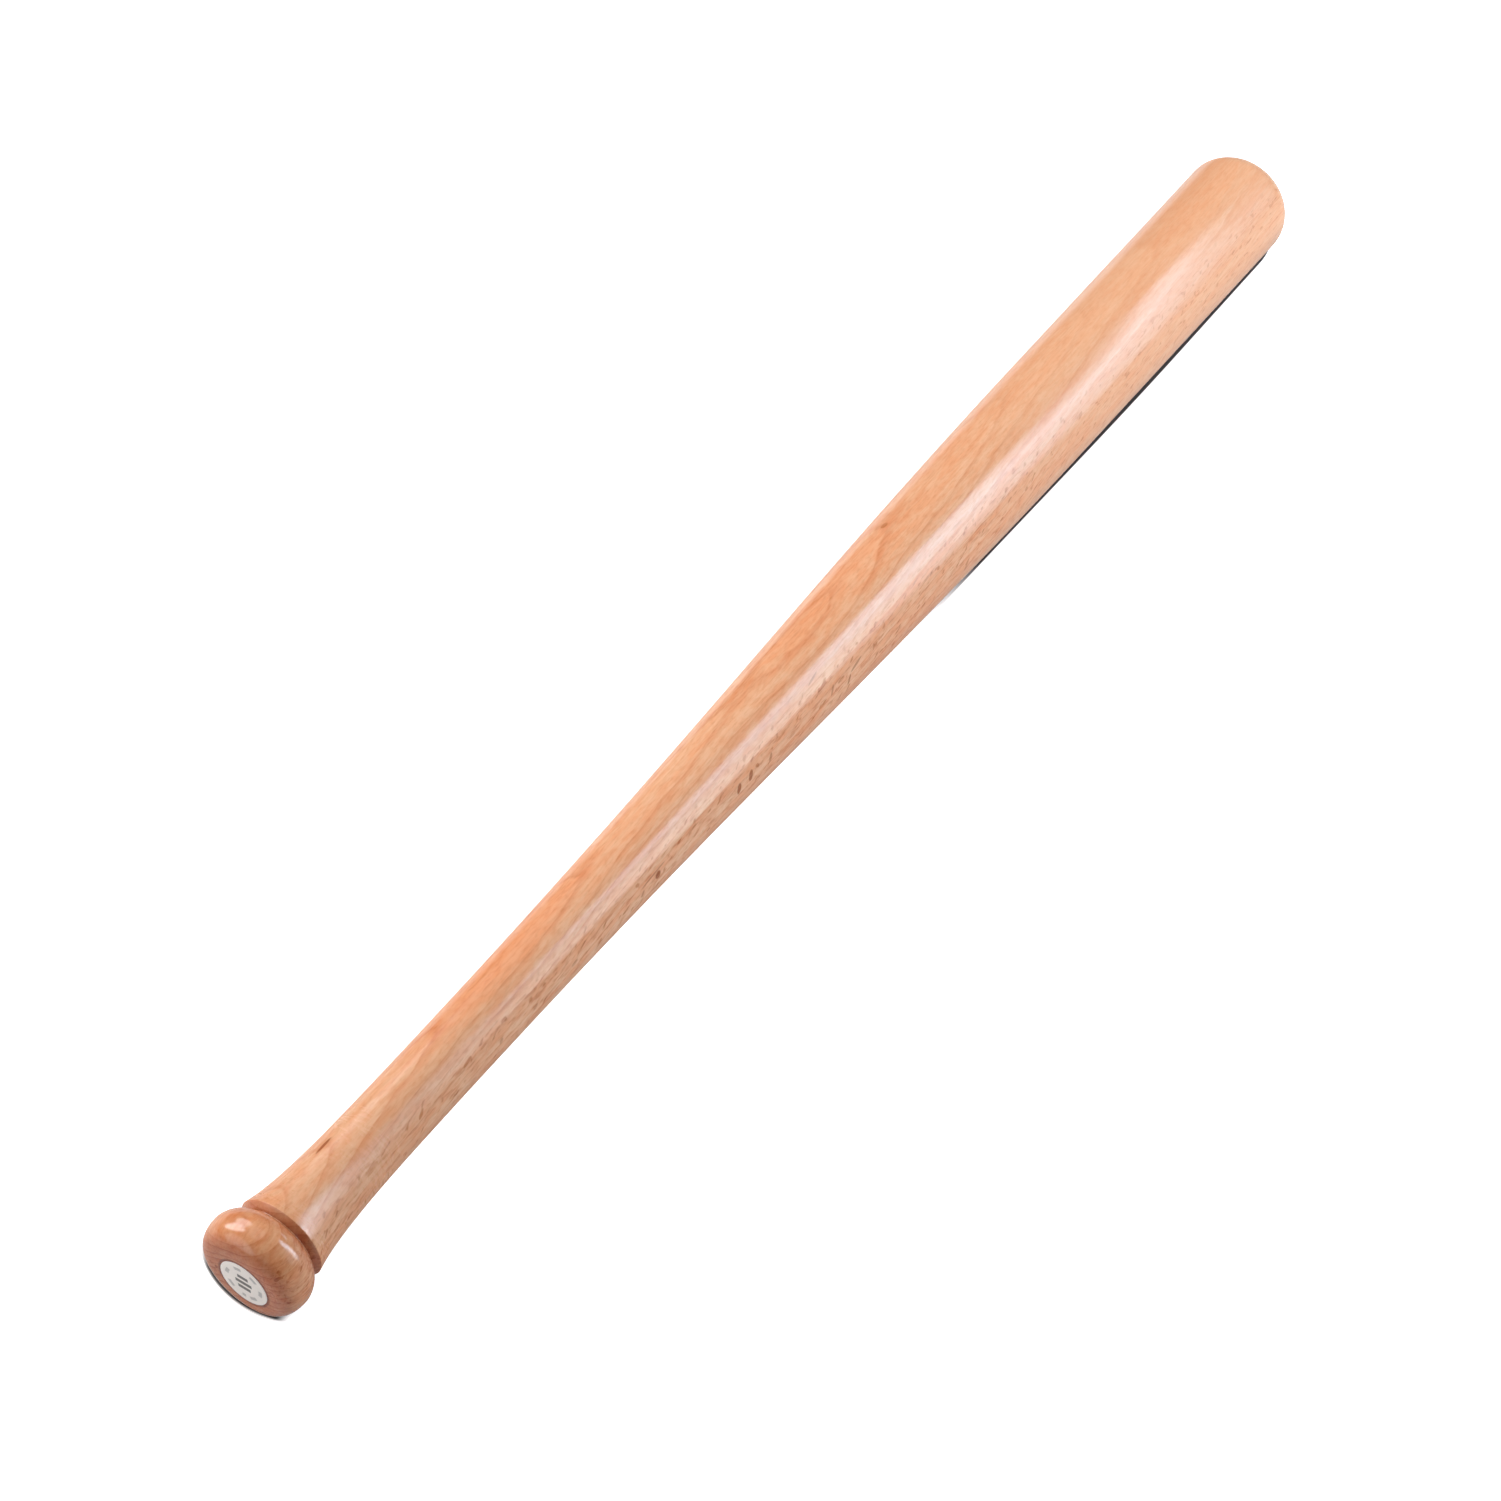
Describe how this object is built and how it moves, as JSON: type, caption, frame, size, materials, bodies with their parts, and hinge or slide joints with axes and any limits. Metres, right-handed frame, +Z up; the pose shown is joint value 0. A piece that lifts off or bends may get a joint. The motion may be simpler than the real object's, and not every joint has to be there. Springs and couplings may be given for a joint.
{
  "type": "baseball bat",
  "caption": "Lacquered wooden baseball bat turned from solid beech: rounded knob, neck groove, flared slim handle, long taper and round-ended barrel.",
  "frame": {"origin": "centre of the knob's end, on the bat's axis, at the outer face of the label", "axes": "+X along the bat's axis from the knob to the tip of the barrel, +Z up with the bat lying down, +Y completes the right-handed frame"},
  "size_m": [0.7401, 0.0512, 0.0514],
  "materials": {
    "beech": "clear gloss lacquer over beech, with fine lengthwise grain and short dark ray flecks",
    "label_paper": "smooth coated paper"
  },
  "bodies": {
    "root": {"bat_body": "beech", "knob_label": "label_paper"}
  },
  "joints": []
}
